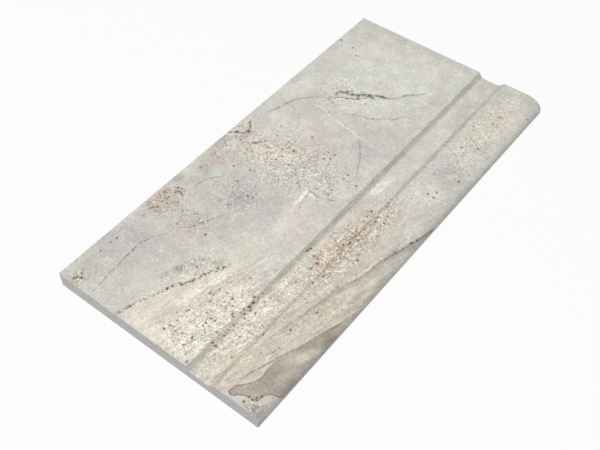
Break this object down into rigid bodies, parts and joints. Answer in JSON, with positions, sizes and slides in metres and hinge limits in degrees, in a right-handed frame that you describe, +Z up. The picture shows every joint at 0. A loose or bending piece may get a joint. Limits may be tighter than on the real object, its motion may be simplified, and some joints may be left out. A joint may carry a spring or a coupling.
{
  "type": "pool coping tile",
  "caption": "Flat stone-look porcelain coping tile for a pool edge, with a rounded nose, a lip and a shallow finger channel along its water side.",
  "frame": {"origin": "middle of the tile's outline, in its bed face", "axes": "+X along the pool edge, -Y towards the water, +Y towards the deck, +Z up out of the walking face"},
  "size_m": [0.626, 0.31, 0.023],
  "materials": {
    "porcelain": "matte stone print on top, plain grey body below"
  },
  "bodies": {
    "root": {"coping_tile": "porcelain"}
  },
  "joints": []
}
